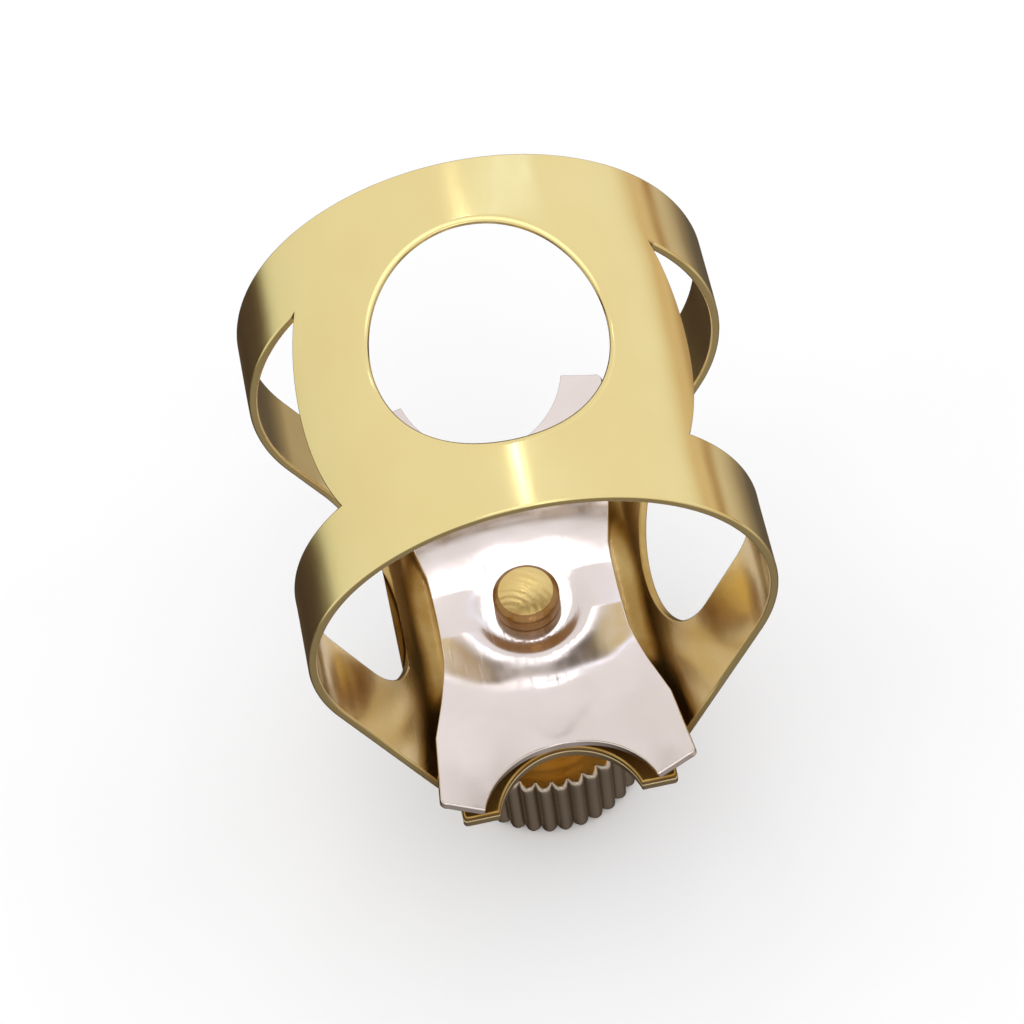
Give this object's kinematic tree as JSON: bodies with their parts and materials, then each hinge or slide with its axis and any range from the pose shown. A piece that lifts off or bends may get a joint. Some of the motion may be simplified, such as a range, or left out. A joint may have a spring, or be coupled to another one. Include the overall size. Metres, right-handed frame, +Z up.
{
  "type": "saxophone ligature",
  "caption": "Two-ring sheet brass saxophone ligature with a floating pressure plate raised by a knurled thumbscrew.",
  "frame": {"origin": "where the mouthpiece axis meets the screw axis, midway between the two ring mouths", "axes": "+Z up from the thumbscrew to the saddle, +Y along the mouthpiece axis from the smaller front ring to the larger rear ring, +X to the right"},
  "size_m": [0.0272, 0.0282, 0.0481],
  "materials": {
    "lacquered_brass": "polished, clear lacquer",
    "boss_brass": "turned",
    "nickel_silver": "polished nickel silver with fine scratches",
    "screw_brass": "threaded, bare",
    "cap_brass": "turned face",
    "knob_brass": "fluted, slightly tarnished"
  },
  "bodies": {
    "shell": {"band_shell": "lacquered_brass", "threaded_boss": "boss_brass"},
    "plate": {"pressure_plate": "nickel_silver"},
    "thumbscrew": {"screw_spindle": "screw_brass", "retaining_cap": "cap_brass", "knob": "knob_brass"}
  },
  "joints": [
    {"name": "plate_travel", "type": "slide", "parent": "shell", "child": "plate", "axis": [0, 0, 1], "range_m": [0, 0.007]},
    {"name": "screw_turn", "type": "hinge", "parent": "plate", "child": "thumbscrew", "pos_m": [0, 0, 0], "axis": [0, 0, 1], "range_deg": [0, 3600]}
  ],
  "couplings": [
    {"joint": "plate_travel", "follows": "screw_turn", "m_per_rad": 0.0001114}
  ]
}
